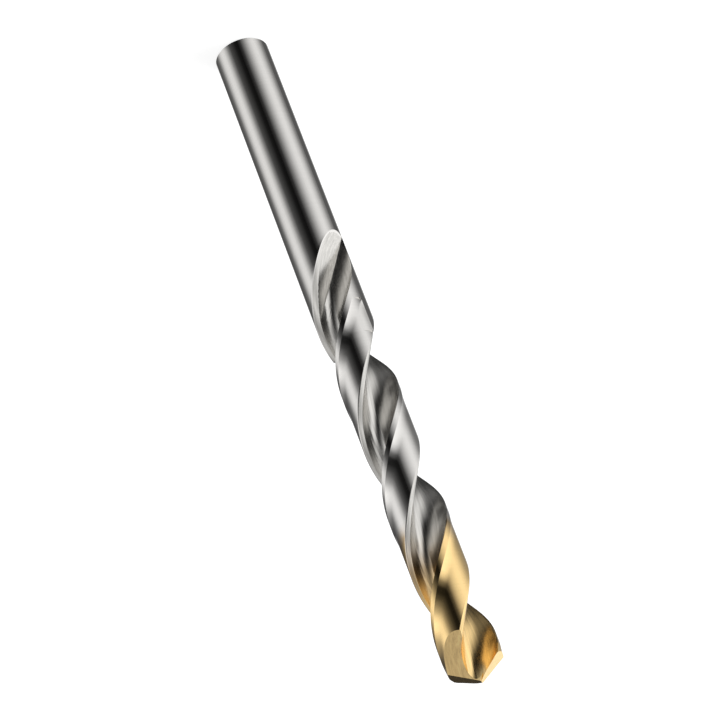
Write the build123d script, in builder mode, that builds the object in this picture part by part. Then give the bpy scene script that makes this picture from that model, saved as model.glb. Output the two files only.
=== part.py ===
from build123d import *
from functools import cache
from math import asin, atan, atan2, cos, degrees, hypot, pi, radians, sin, sqrt, tan
import os

# A right-hand twist drill with two flutes, ground from one bar of high-speed steel.
# It stands on its shank end at z = 0, point up, with its first cutting lip along +X.

# Driving dimensions, in millimetres and degrees
diameter = 10.0             # shank, margins and outer corners
overall_length = 133.0
end_chamfer = 0.3           # on the shank end
point_angle = 118.0         # between the two lips
helix_angle = 32.0          # of the lips at full diameter, off the drill's axis
web_thickness = 1.7         # core left between the flutes
wheel_radius = 199.0        # grinding wheel that cuts the flutes
wheel_tilt = 30.44          # its plane, off the drill's axis
wheel_nose = 4.34           # round side of its rim, which leaves the cutting face
wheel_taper = 31.0          # straight side of its rim, which leaves the heel
runout_height = 53.43       # where the flutes leave full depth
margin_width = 0.9          # guiding strip along the leading edge, square to the helix
body_clearance = 0.22       # radial step behind the margin
clearance_ramp = 1.4        # length round the bar over which that step is reached
clearance_height = 59.3     # where the step starts
first_pass = 0.55           # width round the bar of the straight pass that opens it
heel_bevel = 0.45           # narrow flat ground along the heel, past the flute's own edge
bevel_depth = 0.16          # how far in it meets the flute
relief_slope = 12.2         # fall of the facet behind each lip
heel_slope = 62.6           # fall of the steeper facet behind that one
heel_turn = 5.35            # how far that fall turns towards the axis, from square to the lip
heel_rise = 1.13            # height above the point at which the two heel facets would cross
split_offset = 0.33         # half of the web that the split point leaves
split_turn = 24.0           # short lips that it makes, off the main lips
split_slope = 50.0          # floor of the split, off the drill's axis

# Sizes worked out from them
radius = diameter / 2
inner_radius = radius - body_clearance
bevel_radius = inner_radius - bevel_depth
half_web = web_thickness / 2
lead = pi * diameter / tan(radians(helix_angle))
turn_rate = 360 / lead
tilt = radians(wheel_tilt)
taper = radians(wheel_taper)
lip_fall = 1 / tan(radians(point_angle / 2))
relief_fall = tan(radians(relief_slope))
heel_fall = tan(radians(heel_slope))
corner_angle = asin(half_web / radius)
corner_height = overall_length - radius * cos(corner_angle) * lip_fall + half_web * relief_fall
margin_turn = degrees(margin_width / cos(radians(helix_angle)) / radius)
ramp_turn = degrees(clearance_ramp / radius)
bevel_turn = degrees(heel_bevel / radius)
pass_turn = margin_turn + ramp_turn + degrees(first_pass / radius)
full_height = runout_height + diameter      # from here up, the flute's section only turns
above_point = overall_length + 1            # the bar is drawn to here before it is pointed

# How finely the flutes are drawn
lap = 0.02                  # short plain steps that part one stretch from the next
side_points = 5             # on each of a section's curves, past the first
climb_steps = 60            # places of the wheel that are looked at
climb_rise = diameter / 25  # between two of them
search_turn = 80            # a flute's edge is nearer than this to its widest line
halvings = 24               # in each search


def polar(distance, angle):
    return Vector(distance * cos(radians(angle)), distance * sin(radians(angle)))


def crossing(depth, inside, outside):
    # Where a depth that is positive inside turns negative
    for _ in range(halvings):
        middle = (inside + outside) / 2
        if depth(middle) > 0:
            inside = middle
        else:
            outside = middle
    return inside


def wheel_depth(distance, angle, height):
    # How deep a point lies in the wheel at the end of its cut; angles start at its deepest line
    x = distance * cos(radians(angle))
    y = distance * sin(radians(angle))
    z = height - runout_height
    along = y * sin(tilt) + z * cos(tilt)
    across = z * sin(tilt) - y * cos(tilt)
    depth = wheel_radius - hypot(half_web + wheel_radius - x, along)
    if across < 0:
        return min(depth, across * cos(taper) + depth * sin(taper))
    if depth < wheel_nose:
        return wheel_nose - hypot(across, wheel_nose - depth)
    return wheel_nose - across


def flute_depth(distance, angle, height):
    # The wheel climbs the helix, so the flute is all the places that the wheel has held
    turned = max(0, height - full_height)
    start = angle - turn_rate * turned
    level = height - turned
    climbs = [climb_rise * step for step in range(climb_steps)]
    return max(wheel_depth(distance, start - turn_rate * up, level - up) for up in climbs)


def rim_point(height):
    # The corner of the wheel's rim draws the flute's deepest line, a crease in its run-out
    if height > runout_height:
        return polar(half_web, turn_rate * (height - runout_height))
    along = (height - runout_height) / cos(tilt)
    return Vector(half_web + wheel_radius - sqrt(wheel_radius**2 - along**2), along * sin(tilt))


def wall_points(height, mouth, start, end):
    # Points on the flute's wall, seen from its mouth, between two that are known
    spread = (start - mouth).get_signed_angle(end - mouth, Vector(0, 0, 1))
    points = [start]
    for step in range(1, side_points):
        ray = (start - mouth).normalized().rotate(Axis.Z, spread * step / side_points)

        def depth(reach):
            point = mouth + ray * reach
            return flute_depth(point.length, degrees(atan2(point.Y, point.X)), height)

        points.append(mouth + ray * crossing(depth, 0, radius))
    return points + [end]


@cache
def flute_plan(height, heel_radius=radius, creased=True):
    # The first flute in plan: its two edges on the land, and the curves that join them
    def lip_depth(angle):
        return flute_depth(radius, angle, height)

    def heel_depth(angle):
        return flute_depth(heel_radius, angle, height)

    widest = max(range(-180, 180, 2), key=lip_depth)
    lip_edge = crossing(lip_depth, widest, widest - search_turn)
    heel_edge = crossing(heel_depth, widest, widest + search_turn)
    lip = polar(radius, lip_edge)
    heel = polar(heel_radius, heel_edge)
    mouth = polar(radius, (lip_edge + heel_edge) / 2)
    if creased:
        crease = rim_point(height)
        curves = [wall_points(height, mouth, lip, crease), wall_points(height, mouth, crease, heel)]
    else:
        curves = [wall_points(height, mouth, lip, heel)]
    return lip_edge, heel_edge, curves


def tip_depth(height):
    return max(flute_depth(radius, angle, height) for angle in range(-120, 0))


def crease_depth(height):
    return radius - rim_point(height).length


# Where the run-outs end, and where the crease in each one does
lowest = runout_height - 2 * diameter
tip_height = crossing(tip_depth, runout_height, lowest)
crease_height = crossing(crease_depth, runout_height, lowest)

# The first lip ends at its corner, and the pass that opens the clearance ends on the heel
flute_azimuth = degrees(corner_angle) - flute_plan(corner_height)[0]
pass_edge = flute_plan(clearance_height)[0] + 180 - pass_turn
pass_height = clearance_height + (pass_edge - flute_plan(clearance_height)[1]) / turn_rate


def draw_arc(distance, start, end):
    ThreePointArc(polar(distance, start), polar(distance, (start + end) / 2), polar(distance, end))


def draw_land(heel, lip, edge):
    # From the heel of one flute to the lip of the next, relieved no further back than the edge
    if edge is None:
        draw_arc(radius, heel, lip)
        return
    margin = lip - margin_turn
    ramp = margin - ramp_turn
    if edge > heel:
        draw_arc(radius, heel, edge)
        Line(polar(radius, edge), polar(inner_radius, edge))
        draw_arc(inner_radius, edge, ramp)
    else:
        Line(polar(bevel_radius, heel), polar(inner_radius, heel + bevel_turn))
        draw_arc(inner_radius, heel + bevel_turn, ramp)
    Line(polar(inner_radius, ramp), polar(radius, margin))
    draw_arc(radius, margin, lip)


def fluted_sections(bottom, top, count, heel_radius=radius, edge=None, creased=True):
    # Sections of the fluted bar, evenly spaced between two heights
    sections = []
    for step in range(count):
        height = bottom + (top - bottom) * step / (count - 1)
        lip, heel, curves = flute_plan(height, heel_radius, creased)
        with BuildSketch(Plane.XY.offset(height)) as section:
            with BuildLine():
                for turn in (flute_azimuth, flute_azimuth + 180):
                    for curve in curves:
                        turned = [point.rotate(Axis.Z, turn) for point in curve]
                        add(Edge.make_spline(turned, parameters=range(len(turned))))
                    turned_edge = None if edge is None else edge + turn
                    draw_land(heel + turn, lip + turn + 180, turned_edge)
            make_face()
        sections.append(section.sketch)
    return sections


# Sections above the pass that opens the clearance are relieved all the way to the heel
whole_land = -360 * overall_length / lead - 360
crease_start = crease_height + 2 * lap
relief_start = pass_height - 2 * lap

with BuildPart() as drill_bit:
    Cylinder(radius, tip_height, align=(Align.CENTER, Align.CENTER, Align.MIN))
    chamfer(edges().group_by(Axis.Z)[0], end_chamfer)
    with BuildSketch(Plane.XY.offset(tip_height)):
        Circle(radius)
    extrude(amount=lap)

    # The bar with its flutes, in four stretches whose sections have the same edges throughout
    loft(fluted_sections(tip_height + lap, crease_start, 4, creased=False))
    loft(fluted_sections(crease_start, clearance_height, 9))
    loft(fluted_sections(clearance_height, relief_start, 5, edge=pass_edge))
    loft(fluted_sections(relief_start, above_point, 17, bevel_radius, whole_land))

    # The point: two facets behind each lip, and the notch of the split point in front of it
    for side in (1, -1):
        relief = Plane((0, 0, overall_length), z_dir=(side * lip_fall, -side * relief_fall, 1))
        split(bisect_by=relief, keep=Keep.BOTTOM)
        lean = Vector(0, -side * heel_fall).rotate(Axis.Z, -heel_turn)
        heel_facet = Plane((0, 0, overall_length + heel_rise), z_dir=lean + Vector(0, 0, 1))
        split(bisect_by=heel_facet, keep=Keep.BOTTOM)
    chisel_end = Vector(split_offset * relief_fall / lip_fall, split_offset, overall_length)
    short_lip = Vector(1, 0).rotate(Axis.Z, split_turn)
    rise = Vector(0, 0, 1 / tan(radians(split_slope))) - short_lip
    notch = Plane(chisel_end, x_dir=rise, z_dir=short_lip.rotate(Axis.Z, 90))
    with PolarLocations(0, 2):
        with Locations(notch.location):
            corner = (Align.CENTER, Align.MIN, Align.MIN)
            Box(radius, radius / 2, radius / 2, align=corner, mode=Mode.SUBTRACT)

os.makedirs("parts", exist_ok=True)
drill_bit.part.label = "drill_bit"
export_step(drill_bit.part, "parts/drill_bit.step")
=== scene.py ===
import bpy
import numpy as np
from math import cos, pi, radians, sin, tan
from mathutils import Matrix, Quaternion, Vector


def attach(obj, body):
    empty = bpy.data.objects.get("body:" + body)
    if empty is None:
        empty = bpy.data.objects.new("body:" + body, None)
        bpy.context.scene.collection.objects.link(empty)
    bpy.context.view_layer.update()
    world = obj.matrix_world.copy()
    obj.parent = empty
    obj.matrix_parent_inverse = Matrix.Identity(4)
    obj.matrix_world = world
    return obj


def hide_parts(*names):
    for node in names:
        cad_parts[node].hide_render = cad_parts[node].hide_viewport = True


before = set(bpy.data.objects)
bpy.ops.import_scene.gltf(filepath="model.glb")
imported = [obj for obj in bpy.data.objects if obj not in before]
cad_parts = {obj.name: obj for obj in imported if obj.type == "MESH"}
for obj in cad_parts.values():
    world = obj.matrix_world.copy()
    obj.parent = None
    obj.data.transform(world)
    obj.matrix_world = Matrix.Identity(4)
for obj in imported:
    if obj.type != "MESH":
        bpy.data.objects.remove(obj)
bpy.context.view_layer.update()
print("frame loaded")


def hexToLinear(hexCode):
    values = [int(hexCode[i:i + 2], 16) / 255 for i in (0, 2, 4)]
    return [v / 12.92 if v <= 0.04045 else ((v + 0.055) / 1.055) ** 2.4 for v in values] + [1]


def addNode(tree, kind, settings=None, links=None):
    # a node with its settings, its fixed inputs and what feeds it
    node = tree.nodes.new(kind)
    for name, value in (settings or {}).items():
        if isinstance(name, str) and hasattr(node, name):
            setattr(node, name, value)
        else:
            node.inputs[name].default_value = value
    for name, source in (links or {}).items():
        tree.links.new(source, node.inputs[name])
    return node


# The drill: a grid wrapped round the bar, ring by ring, along the true path of the grinding wheel

drill = {                      # mm and degrees, as the tool is ground
    "radius": 5.0,
    "length": 133.0,
    "chamfer": 0.3,
    "lead": 50.276,            # height of one turn of the flutes
    "halfWeb": 0.85,
    "wheel": 199.0,
    "tilt": 30.44,
    "nose": 4.34,              # round side of the wheel's rim, along the cutting face
    "taper": 31.0,             # straight side of the rim, along the heel
    "runout": 53.43,           # where the flutes leave full depth
    "tip": 44.365,             # where the run-outs end
    "creaseReach": 6.4,        # height above the run-out over which the rim's corner marks the wall
    "margin": 0.9 / cos(radians(32)),
    "ramp": 1.4,               # from the margin down to the relieved land, round the bar
    "rampFoot": 0.5,           # the ramp is curved, and reaches this much further
    "clearance": 0.22,
    "clearanceHeight": 59.3,
    "firstPass": 0.55,         # width of the straight pass that opens the clearance
    "passEntry": 2.2,          # its sloped side, where it bites into the bar
    "entryShare": 0.9,         # of the land behind the ramp, at most
    "bevel": 0.45,             # curved bevel along the heel
    "bevelDepth": 0.16,
    "turn": 241.461,           # of the whole drill, which puts its first lip along X
}
fineness = {
    "climb": 24,               # how far up the helix the wheel is followed, in mm
    "climbStep": 0.1,
    "halvings": 22,            # in each search for an edge
    "searchTurn": 1.4,         # a flute's edge is nearer than this to its widest line, in radians
    "wallPoints": 45,          # from the lip to the crease, and half as many from there to the heel
    "startRings": 26,          # over the first few mm of the run-outs, closest at the tip
    "startReach": 4,
    "startBend": 1.8,
    "runoutStep": 0.25,        # between rings, in mm
    "ringStep": 0.5,
    "pastBevel": 0.3,          # the first ring after the one where the heel's bevel starts
    "halfShank": 22,           # height of one more ring on the plain shank
    "abovePoint": 1,           # the bar goes on this far before the point is cut
    "searchStep": 2,           # between the angles tried for a flute's widest line, in degrees
    "mergeWithin": 0.000001,   # in metres
    "smoothBelow": 7,          # degrees between faces
}
landPoints = {"behind": 8, "entry": 4, "relieved": 14, "ramp": 12, "margin": 5}
turnRate = 2 * pi / drill["lead"]
fullHeight = drill["runout"] + 2 * drill["radius"]      # from here up, a section only turns
tilt, taper = radians(drill["tilt"]), radians(drill["taper"])


def fluteDepth(place, height):
    # how deep points of a section lie in the flute, which is every place that the wheel has held
    deepest = np.full(np.broadcast(place, height).shape, -np.inf)
    for up in np.arange(0, fineness["climb"], fineness["climbStep"]):
        turned = place * np.exp(-1j * turnRate * up)
        level = height - up - drill["runout"]
        along = turned.imag * sin(tilt) + level * cos(tilt)
        across = level * sin(tilt) - turned.imag * cos(tilt)
        depth = drill["wheel"] - np.hypot(drill["halfWeb"] + drill["wheel"] - turned.real, along)
        heelSide = np.minimum(depth, across * cos(taper) + depth * sin(taper))
        rounded = np.hypot(across, drill["nose"] - depth)
        lipSide = drill["nose"] - np.where(depth < drill["nose"], rounded, across)
        deepest = np.maximum(deepest, np.where(across < 0, heelSide, lipSide))
    return deepest


def edgeOf(depth, inside, outside):
    # where a depth that is positive inside turns negative
    for _ in range(fineness["halvings"]):
        middle = (inside + outside) / 2
        held = depth(middle) > 0
        inside, outside = np.where(held, middle, inside), np.where(held, outside, middle)
    return inside


def fluteWall(height, heelRadius):
    # lip, cutting face, crease, heel side and heel of the first flute in each section
    radius, wheel, search = drill["radius"], drill["wheel"], fineness["searchTurn"]
    angles = np.radians(np.arange(-180, 180, fineness["searchStep"]))
    widest = angles[fluteDepth(radius * np.exp(1j * angles), height[:, None]).argmax(axis=1)]
    lip = edgeOf(lambda a: fluteDepth(radius * np.exp(1j * a), height), widest, widest - search)
    heel = edgeOf(lambda a: fluteDepth(heelRadius * np.exp(1j * a), height), widest, widest + search)
    mouth = radius * np.exp(0.5j * (lip + heel))

    # the crease is the corner of the wheel's rim, and then turns with the flute
    climbed = np.minimum(height - drill["runout"], drill["creaseReach"])
    along = climbed / cos(tilt)
    crease = drill["halfWeb"] + wheel - np.sqrt(wheel ** 2 - along ** 2) + 1j * along * sin(tilt)
    crease = crease * np.exp(1j * turnRate * (height - drill["runout"] - climbed))
    ends = [radius * np.exp(1j * lip), crease, heelRadius * np.exp(1j * heel)]
    ends[1] = np.where(abs(crease) < radius, crease, ends[2])

    # rays from the flute's mouth find the wall between these three lines
    aim = [np.angle((mouth - end) / mouth)[:, None] for end in ends]
    share = np.linspace(0, 1, fineness["wallPoints"])[1:-1]
    turns = [aim[0] + (aim[1] - aim[0]) * share, aim[1] + (aim[2] - aim[1]) * share[::2]]
    columns = [ends[0][:, None]]
    for turn, end in zip(turns, ends[1:]):
        ray = -np.exp(1j * turn) * (mouth / abs(mouth))[:, None]
        reach = edgeOf(lambda r: fluteDepth(mouth[:, None] + ray * r, height[:, None]),
                       np.zeros(turn.shape), np.full(turn.shape, radius))
        columns += [mouth[:, None] + ray * reach, end[:, None]]
    return np.concatenate(columns, axis=1)


def landArc(first, last, start, end, count, bend=1):
    # from one radius and angle to another, without its first point
    step = np.linspace(0, 1, count + 1)[1:]
    return (first + (last - first) * step ** bend) * np.exp(1j * (start + (end - start) * step))


def barRing(wall, relieved, edge):
    # a whole section: the flute's wall, the land behind its heel, and both again half a turn on
    radius, count = drill["radius"], landPoints
    low = radius - (drill["clearance"] if relieved else 0)
    heel = np.angle(wall[-1])
    lip = heel + (np.angle(-wall[0]) - heel) % (2 * pi)
    margin = lip - drill["margin"] / radius
    foot = margin - drill["ramp"] / radius - drill["rampFoot"] / radius
    if edge is None:           # relieved all the way to the bevel on the heel
        edge, entry = heel + drill["bevel"] / radius, 0
        behind = landArc(low, abs(wall[-1]), edge, heel, count["behind"] + 1, bend=2)[-2::-1]
    else:                      # not relieved behind the edge, which may lie a little before the heel
        slack = 0.5
        edge = heel + (edge - heel + slack) % (2 * pi) - slack
        behind = landArc(radius, radius, heel, edge, count["behind"])
        entry = min(drill["passEntry"] / radius, drill["entryShare"] * abs(foot - edge))
    half = np.concatenate([
        wall,
        behind,
        landArc(abs(behind[-1]), low, edge, edge + entry, count["entry"]),
        landArc(low, low, edge + entry, foot, count["relieved"]),
        landArc(low, radius, foot, margin, count["ramp"], bend=2),
        landArc(radius, radius, margin, lip, count["margin"])[:-1],
    ])
    return np.concatenate([half, -half])


def wallAt(height, wall):
    return wall * np.exp(1j * turnRate * (height - fullHeight))


startSteps = np.linspace(0.02, 1, fineness["startRings"]) ** fineness["startBend"]
nextStep = fineness["startReach"] + fineness["runoutStep"]
steps = np.concatenate([startSteps * fineness["startReach"],
                        np.arange(nextStep, fullHeight - drill["tip"], fineness["runoutStep"])])
heights = np.unique(np.append(drill["tip"] + steps, [drill["clearanceHeight"], fullHeight]))
plainWalls = fluteWall(heights, drill["radius"])
bevelRadius = drill["radius"] - drill["clearance"] - drill["bevelDepth"]
bevelWall = fluteWall(heights[-1:], bevelRadius)[0]

# The straight pass that opens the clearance starts on the bar and ends where it meets the heel
opening = list(heights).index(drill["clearanceHeight"])
passWidth = drill["margin"] + drill["ramp"] + drill["firstPass"]
passEdge = np.angle(-plainWalls[opening, 0]) - passWidth / drill["radius"]
passShare = (passEdge - np.angle(plainWalls[opening, -1])) % (2 * pi)
passHeight = drill["clearanceHeight"] + passShare / turnRate

firstRing = barRing(plainWalls[0], False, np.angle(plainWalls[0, -1]) + passShare)
bar = drill["radius"] * firstRing / abs(firstRing)
rings = [
    (0, bar * 0),
    (0, bar * (1 - drill["chamfer"] / drill["radius"])),
    (drill["chamfer"], bar),
    (fineness["halfShank"], bar),
    (drill["tip"], bar),
]
for height, wall in zip(heights, plainWalls):
    if height <= drill["clearanceHeight"]:
        rings.append((height, barRing(wall, False, np.angle(wall[-1]) + passShare)))
    if height >= drill["clearanceHeight"]:
        rings.append((height, barRing(wall, True, passEdge)))
ringStep = fineness["ringStep"]
for height in np.append(np.arange(fullHeight + ringStep, passHeight, ringStep), passHeight):
    rings.append((height, barRing(wallAt(height, plainWalls[-1]), True, passEdge)))
bevelStart, barTop = passHeight + fineness["pastBevel"], drill["length"] + fineness["abovePoint"]
for height in np.append(passHeight, np.arange(bevelStart, barTop, ringStep)):
    rings.append((height, barRing(wallAt(height, bevelWall), True, None)))
rings.append((barTop + ringStep, rings[-1][1] * 0))
columnCount = len(firstRing)
print("rings", len(rings), "columns", columnCount)

bpy.ops.object.select_all(action="DESELECT")
bpy.ops.mesh.primitive_grid_add(x_subdivisions=columnCount, y_subdivisions=len(rings) - 1, calc_uvs=True)
drillBody = bpy.context.object
drillBody.name = "drillBody"
spots = []
for height, ring in rings:
    ring = np.append(ring, ring[0]) * np.exp(1j * radians(drill["turn"]))
    spots.append(np.stack([ring.real, ring.imag, np.full(len(ring), height)], axis=1))
drillBody.data.vertices.foreach_set("co", np.concatenate(spots).ravel() / 1000)
drillBody.data.update()
bpy.ops.object.mode_set(mode="EDIT")
bpy.ops.mesh.select_all(action="SELECT")
bpy.ops.mesh.remove_doubles(threshold=fineness["mergeWithin"])
bpy.ops.mesh.select_all(action="SELECT")
bpy.ops.mesh.dissolve_degenerate(threshold=fineness["mergeWithin"] / 2)
bpy.ops.object.mode_set(mode="OBJECT")
print("flutes ground")

# The point: four flat facets, then the notch of the split point in front of each lip

point = {                      # mm and degrees
    "angle": 118.0,
    "reliefFall": tan(radians(12.2)),
    "heelFall": tan(radians(62.6)),
    "heelTurn": 5.35,
    "heelRise": 1.13,
    "splitOffset": 0.33,
    "splitTurn": 24.0,
    "splitSlope": 50.0,
    "facetBlock": (40, 40, 20),
    "notchBlock": (5, 2.5, 2.5),
}
lipFall = 1 / tan(radians(point["angle"] / 2))


def grindAway(place, axes, size, middle):
    # takes a square-cornered block out of the drill, as a grinding wheel would
    bpy.ops.object.select_all(action="DESELECT")
    bpy.ops.mesh.primitive_cube_add(size=1)
    block = bpy.context.object
    shape = Matrix.Translation(middle) @ Matrix.Diagonal(size).to_4x4()
    standing = Matrix.Translation(place) @ Matrix(axes).transposed().to_4x4()
    block.data.transform(Matrix.Scale(0.001, 4) @ standing @ shape)
    cut = drillBody.modifiers.new("cut", "BOOLEAN")
    cut.object = block
    cut.operation = "DIFFERENCE"
    cut.solver = "EXACT"
    bpy.ops.object.select_all(action="DESELECT")
    drillBody.select_set(True)
    bpy.context.view_layer.objects.active = drillBody
    bpy.ops.object.modifier_apply(modifier=cut.name)
    bpy.data.objects.remove(block)


facets = []
for side in (1, -1):
    relief = Vector((side * lipFall, -side * point["reliefFall"], 1))
    lean = Vector((0, -side * point["heelFall"], 0))
    lean.rotate(Quaternion((0, 0, 1), radians(-point["heelTurn"])))
    facets.append((drill["length"], relief.normalized()))
    facets.append((drill["length"] + point["heelRise"], (lean + Vector((0, 0, 1))).normalized()))
for height, normal in facets:
    flat = normal.orthogonal().normalized()
    axes = (flat, normal.cross(flat), normal)
    grindAway((0, 0, height), axes, point["facetBlock"], (0, 0, point["facetBlock"][2] / 2))

splitTurn = radians(point["splitTurn"])
shortLip = Vector((cos(splitTurn), sin(splitTurn), 0))
riseAxis = (Vector((0, 0, 1 / tan(radians(point["splitSlope"])))) - shortLip).normalized()
faceAxis = Vector((-shortLip.y, shortLip.x, 0))
chiselEnd = point["splitOffset"] * point["reliefFall"] / lipFall
corner = Vector((chiselEnd, point["splitOffset"], drill["length"]))
for side in (1, -1):
    flip = Vector((side, side, 1))
    axes = (riseAxis * flip, faceAxis.cross(riseAxis) * flip, faceAxis * flip)
    grindAway(corner * flip, axes, point["notchBlock"],
              (0, point["notchBlock"][1] / 2, point["notchBlock"][2] / 2))
print("point ground", len(drillBody.data.polygons))

# The finishes: high-speed steel in three grinds, under a titanium nitride coat near the point; the steel
# in the flutes is painted darker, as painted shade

coat = {
    "gold": "fdda9a",          # titanium nitride at full thickness
    "thin": "c0a988",          # where it thins out, the steel shows through
    "thinAt": 0.45,
    "patches": 0.35,           # per mm: its edge wanders in patches of about 3 mm
    "wander": 3.0,             # by this many mm in all
}
# Real grinding lines are a few hundredths of a millimetre apart, too fine to show: these are coarser
finishes = {                   # grit: marks per mm along x, y and z; fades: mm above the shank's end
    # ground round the bar: close fine lines, a hard bright mirror with soft edges
    "cylindricalGroundSteel": {
        "grit": (0.05, 0.05, 9.0), "unwound": False, "bare": "dedcd9", "fades": (103, 109),
        "roughness": 0.11, "contrast": 0.05, "bump": 0.02,
    },
    # ground along the flute by a coarse wheel: long streaks, a broad dull sheen; its bare colour is
    # painted darker than the lands' steel, as painted shade in the flute's hollow
    "fluteGroundSteelPaintedShade": {
        "grit": (2.2, 2.2, 0.10), "unwound": True, "bare": "d0ceca", "fades": (104, 119),
        "roughness": 0.23, "contrast": 0.20, "bump": 0.10,
    },
    # flat facets of the point: short streaks, satin
    "pointGroundSteel": {
        "grit": (2.2, 2.2, 0.10), "unwound": True, "bare": "dedcd9", "fades": (100, 108),
        "roughness": 0.20, "contrast": 0.22, "bump": 0.06,
    },
}
roughnessSpread = 0.03         # either side, with the streaks
grooveDepth = 0.00002          # in metres


def steelMaterial(name, finish):
    material = bpy.data.materials.new(name)
    material.use_nodes = True
    tree = material.node_tree
    shader = tree.nodes["Principled BSDF"]
    place = addNode(tree, "ShaderNodeTexCoord").outputs["Object"]
    mm = addNode(tree, "ShaderNodeVectorMath", {"operation": "SCALE", "Scale": 1000},
                 {0: place}).outputs[0]
    height = addNode(tree, "ShaderNodeSeparateXYZ", {}, {0: mm}).outputs["Z"]

    # streaks of the grinding, which follow the bar or the twist of the flutes
    lined = mm
    if finish["unwound"]:
        turn = addNode(tree, "ShaderNodeMath", {"operation": "MULTIPLY", 1: -turnRate},
                       {0: height}).outputs[0]
        lined = addNode(tree, "ShaderNodeVectorRotate", {"rotation_type": "Z_AXIS"},
                        {"Vector": mm, "Angle": turn}).outputs[0]
    lined = addNode(tree, "ShaderNodeMapping", {"Scale": finish["grit"]}, {"Vector": lined}).outputs[0]
    grain = addNode(tree, "ShaderNodeTexNoise", {"Scale": 1.0, "Detail": 3.0, "Roughness": 0.6},
                    {"Vector": lined}).outputs[0]

    def spread(low, high):
        # the grain's usual range, stretched from one value to another
        return addNode(tree, "ShaderNodeMapRange",
                       {"To Min": low, "To Max": high, "From Min": 0.3, "From Max": 0.7},
                       {"Value": grain}).outputs[0]

    # the coat comes in over a height whose edge wanders
    cloud = addNode(tree, "ShaderNodeTexNoise", {"Scale": coat["patches"], "Detail": 2.0},
                    {"Vector": mm}).outputs[0]
    edge = addNode(tree, "ShaderNodeMath",
                   {"operation": "MULTIPLY_ADD", 1: coat["wander"], 2: -coat["wander"] / 2},
                   {0: cloud}).outputs[0]
    level = addNode(tree, "ShaderNodeMath", {"operation": "ADD"}, {0: height, 1: edge}).outputs[0]
    fade = addNode(tree, "ShaderNodeMapRange",
                   {"interpolation_type": "SMOOTHSTEP",
                    "From Min": finish["fades"][0], "From Max": finish["fades"][1]},
                   {"Value": level}).outputs[0]
    color = addNode(tree, "ShaderNodeValToRGB", {}, {"Fac": fade})
    color.color_ramp.elements[0].color = hexToLinear(finish["bare"])
    color.color_ramp.elements[1].color = hexToLinear(coat["gold"])
    color.color_ramp.elements.new(coat["thinAt"]).color = hexToLinear(coat["thin"])

    shade = spread(1 - finish["contrast"], 1 + finish["contrast"] / 2)
    tint = addNode(tree, "ShaderNodeMix",
                   {"data_type": "RGBA", "blend_type": "MULTIPLY", "Factor": 1.0},
                   {"A": color.outputs[0], "B": shade})
    rough = spread(finish["roughness"] - roughnessSpread, finish["roughness"] + roughnessSpread)
    relief = addNode(tree, "ShaderNodeBump", {"Strength": finish["bump"], "Distance": grooveDepth},
                     {"Height": grain}).outputs[0]
    tree.links.new(tint.outputs["Result"], shader.inputs["Base Color"])
    tree.links.new(rough, shader.inputs["Roughness"])
    tree.links.new(relief, shader.inputs["Normal"])
    shader.inputs["Metallic"].default_value = 1
    return material


drillBody.data.materials.clear()
for name, finish in finishes.items():
    drillBody.data.materials.append(steelMaterial(name, finish))
roundFinish, fluteFinish, pointFinish = range(3)
pointStart = 0.12              # in metres, well below the facets
endFace = 0.001                # in metres, above the shank's end
facetFlatness = 0.9999         # cosine, against the facets' own directions
landReach = drill["radius"] - drill["clearance"] - 0.01      # in mm, just inside the relieved land
verts = drillBody.data.vertices
for face in drillBody.data.polygons:
    reach = [Vector((verts[i].co.x, verts[i].co.y)).length * 1000 for i in face.vertices]
    flatness = max(face.normal.dot(normal) for _, normal in facets)
    if flatness > facetFlatness and face.center.z > pointStart:
        face.material_index = pointFinish
    elif min(reach) > landReach or face.center.z < endFace:
        face.material_index = roundFinish
    else:
        face.material_index = fluteFinish

bpy.ops.object.select_all(action="DESELECT")
drillBody.select_set(True)
bpy.context.view_layer.objects.active = drillBody
bpy.ops.object.shade_smooth_by_angle(angle=radians(fineness["smoothBelow"]))
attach(drillBody, "root")
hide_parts("drill_bit")
print("drill finished")

# The floor: matte white paper that keeps a faint shadow

paper = {
    "size": 6,                 # in metres
    "grey": "a0a0a0",          # what it reflects, on top of its glow
    "glow": 0.8,               # seen by the camera alone
    "roughness": 0.95,
}
bpy.ops.object.select_all(action="DESELECT")
bpy.ops.mesh.primitive_plane_add(size=paper["size"], location=(0, 0, 0))
floor = bpy.context.object
floor.name = "floor"
floorPaper = bpy.data.materials.new("matteWhitePaper")      # uncoated paper: no gloss at all
floorPaper.use_nodes = True
tree = floorPaper.node_tree
matte = tree.nodes["Principled BSDF"]
matte.inputs["Base Color"].default_value = hexToLinear(paper["grey"])
matte.inputs["Roughness"].default_value = paper["roughness"]
matte.inputs["Specular IOR Level"].default_value = 0
ray = addNode(tree, "ShaderNodeLightPath").outputs["Is Camera Ray"]
strength = addNode(tree, "ShaderNodeMath", {"operation": "MULTIPLY", 1: paper["glow"]}, {0: ray})
glow = addNode(tree, "ShaderNodeEmission", {"Color": (1, 1, 1, 1)}, {"Strength": strength.outputs[0]})
both = addNode(tree, "ShaderNodeAddShader", {}, {0: matte.outputs[0], 1: glow.outputs[0]})
tree.links.new(both.outputs[0], tree.nodes["Material Output"].inputs["Surface"])
floor.data.materials.append(floorPaper)
floor.visible_glossy = False   # the steel sees the studio's lights below it, not the paper

# The studio: light panels all round in a dark room, brightest at both sides of the drill

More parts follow.
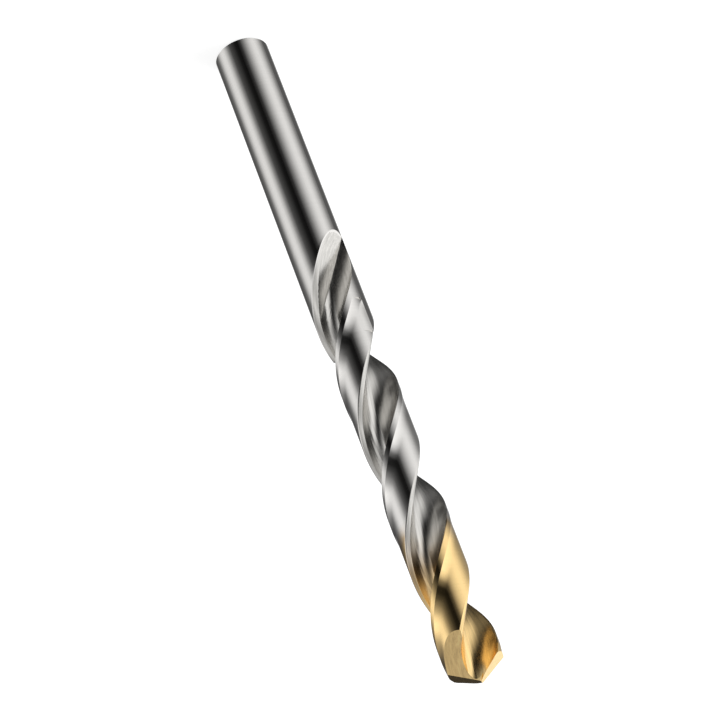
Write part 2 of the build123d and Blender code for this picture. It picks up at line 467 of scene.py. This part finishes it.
studio = {
    "cameraAzimuth": 66.6,     # degrees round from the drill's +X
    "rampStep": 12,            # degrees between two brightnesses that are worked out
    # panels: degrees right of the camera where each starts, is full from, full to and ends, brightness
    "sides": {                 # below the drill's own height, mirrored by the upright bar
        "leftSoftbox": (-128, -84, -76, -37, 0.83),
        "leftWall": (-150, -112, -60, -5, 0.13),
        "rightSoftbox": (5, 67, 70, 122, 1.00),
        "rightWall": (84, 104, 114, 150, 0.10),
        "backLight": (142, 176, 178, 207, 0.43),
        "farWall": (110, 140, 220, 245, 0.08),
    },
    "level": {                 # at that height
        "leftSoftbox": (-112, -78, -72, -40, 0.85),
        "leftWall": (-155, -115, -50, -15, 0.40),
        "rightSoftbox": (4, 36, 100, 206, 1.28),
    },
    "above": {                 # above it
        "leftScreen": (-148, -112, -66, -22, 0.60),
        "overhead": (-56, -14, 160, 174, 0.68),
        "frontLamp": (-14, 12, 12, 34, 0.38),
        "rightSoftbox": (62, 106, 160, 174, 0.52),
    },
    "darkRoom": {"sides": 0.006, "level": 0.02, "above": 0.04},      # between the panels
    "ceiling": 0.5,
    "table": 0.03,             # what the dark table adds below it
    "tableShine": 0.15,        # share of the side lights that the table sends back
    "tableEdge": (-54, -37),   # elevations between which one gives way to the next
    "levelEdge": (-32, -12),
    "aboveEdge": (0, 10),
    "ceilingEdge": (35, 60),
}
world = bpy.data.worlds.new("studio")
bpy.context.scene.world = world
world.use_nodes = True
tree = world.node_tree
direction = addNode(tree, "ShaderNodeTexCoord").outputs["Generated"]
faced = addNode(tree, "ShaderNodeVectorRotate",
                {"rotation_type": "Z_AXIS", "Angle": radians(-studio["cameraAzimuth"])},
                {"Vector": direction}).outputs[0]
parts = addNode(tree, "ShaderNodeSeparateXYZ", {}, {0: faced}).outputs
azimuth = addNode(tree, "ShaderNodeMath", {"operation": "ARCTAN2"},
                  {0: parts["Y"], 1: parts["X"]}).outputs[0]
around = addNode(tree, "ShaderNodeMapRange", {"From Min": pi, "From Max": -pi},
                 {"Value": azimuth}).outputs[0]


def brightness(band, right):
    # what a band's panels give together in one direction, each with soft sides
    total = studio["darkRoom"][band]
    for starts, fullFrom, fullTo, ends, full in studio[band].values():
        turned = right + 360 if right + 360 < ends else right
        side = min(1, (turned - starts) / (fullFrom - starts), (ends - turned) / (ends - fullTo))
        total += full * max(0, side) ** 2 * (3 - 2 * max(0, side))
    return total


def panelRamp(band):
    # the same all round, in about as many steps as a ramp holds
    ramp = addNode(tree, "ShaderNodeValToRGB", {}, {"Fac": around})
    stops = ramp.color_ramp.elements       # it comes with one at each end
    for right in range(-168, 180, studio["rampStep"]):
        stops.new((right + 180) / 360)
    for stop in stops:
        level = brightness(band, stop.position * 360 - 180)
        stop.color = (level, level, level, 1)
    return ramp.outputs[0]


def riseMask(edge):
    # from 0 to 1 between two elevations
    return addNode(tree, "ShaderNodeMapRange",
                   {"interpolation_type": "SMOOTHSTEP",
                    "From Min": sin(radians(edge[0])), "From Max": sin(radians(edge[1]))},
                   {"Value": parts["Z"]}).outputs[0]


def mixed(edge, below, over):
    return addNode(tree, "ShaderNodeMix", {"data_type": "RGBA"},
                   {"Factor": riseMask(edge), "A": below, "B": over}).outputs["Result"]


sides = panelRamp("sides")
table = addNode(tree, "ShaderNodeMapRange",
                {"To Min": studio["table"], "To Max": studio["table"] + studio["tableShine"]},
                {"Value": sides}).outputs[0]
lower = mixed(studio["tableEdge"], table, sides)
middle = mixed(studio["levelEdge"], lower, panelRamp("level"))
upper = mixed(studio["aboveEdge"], middle, panelRamp("above"))
ceiling = [studio["ceiling"]] * 3 + [1]
whole = addNode(tree, "ShaderNodeMix", {"data_type": "RGBA", "B": ceiling},
                {"Factor": riseMask(studio["ceilingEdge"]), "A": upper}).outputs["Result"]
tree.links.new(whole, tree.nodes["Background"].inputs["Color"])

keyLamp = {"location": (0.25, -0.35, 0.9), "aim": (0, 0, 0.06), "size": 0.5, "watts": 6}
bpy.ops.object.light_add(type="AREA", location=keyLamp["location"])
keyLight = bpy.context.object
keyLight.data.size = keyLamp["size"]
keyLight.data.energy = keyLamp["watts"]
lookDown = Vector(keyLamp["aim"]) - keyLight.location
keyLight.rotation_euler = lookDown.to_track_quat("-Z", "Y").to_euler()
keyLight.visible_glossy = False       # it only draws the shadow
print("studio lit")

# The camera

view = {
    "location": (0.16952, 0.39174, 0.31164),      # in metres
    "turn": (-58.696, -18.127, -34.082),
    "lens": 142.677,
}
bpy.ops.object.camera_add(location=view["location"], rotation=[radians(a) for a in view["turn"]])
camera = bpy.context.object
camera.data.lens = view["lens"]
bpy.context.scene.camera = camera
bpy.context.scene.view_settings.view_transform = "Standard"
